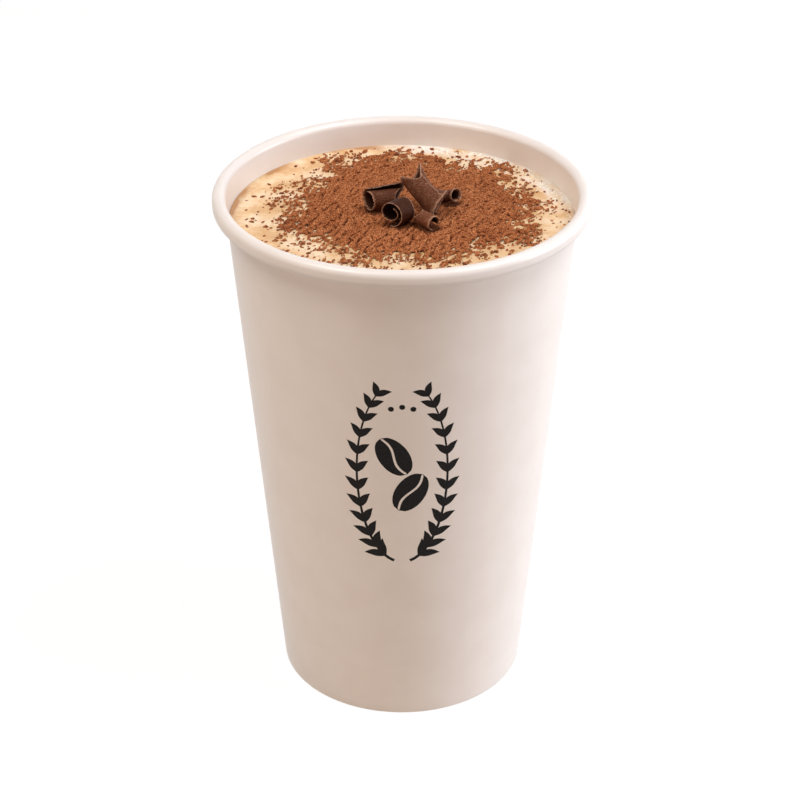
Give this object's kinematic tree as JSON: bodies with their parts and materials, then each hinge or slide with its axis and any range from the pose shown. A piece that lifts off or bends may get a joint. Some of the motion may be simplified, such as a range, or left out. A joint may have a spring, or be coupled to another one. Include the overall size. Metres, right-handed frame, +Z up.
{
  "type": "paper cup of latte",
  "caption": "Tall paper cup with a rolled rim, filled with a latte that is topped with cocoa powder and chocolate curls.",
  "frame": {"origin": "centre of the foot ring on the table", "axes": "+Z up along the cup's axis, +Y away from the viewer, +X to the viewer's right; the wall's seam is at the back"},
  "size_m": [0.09, 0.09, 0.1364],
  "materials": {
    "cup_paper": "satin",
    "latte": "satin, a milk foam",
    "cocoa": "matt powder",
    "chocolate": "satin"
  },
  "bodies": {
    "root": {"cup_wall": "cup_paper", "cup_base": "cup_paper", "latte": "latte", "cocoa_dusting": "cocoa", "curl_tube": "chocolate", "curl_spiral": "chocolate", "curl_tall": "chocolate", "curl_flared": "chocolate", "curl_front": "chocolate"}
  },
  "joints": []
}
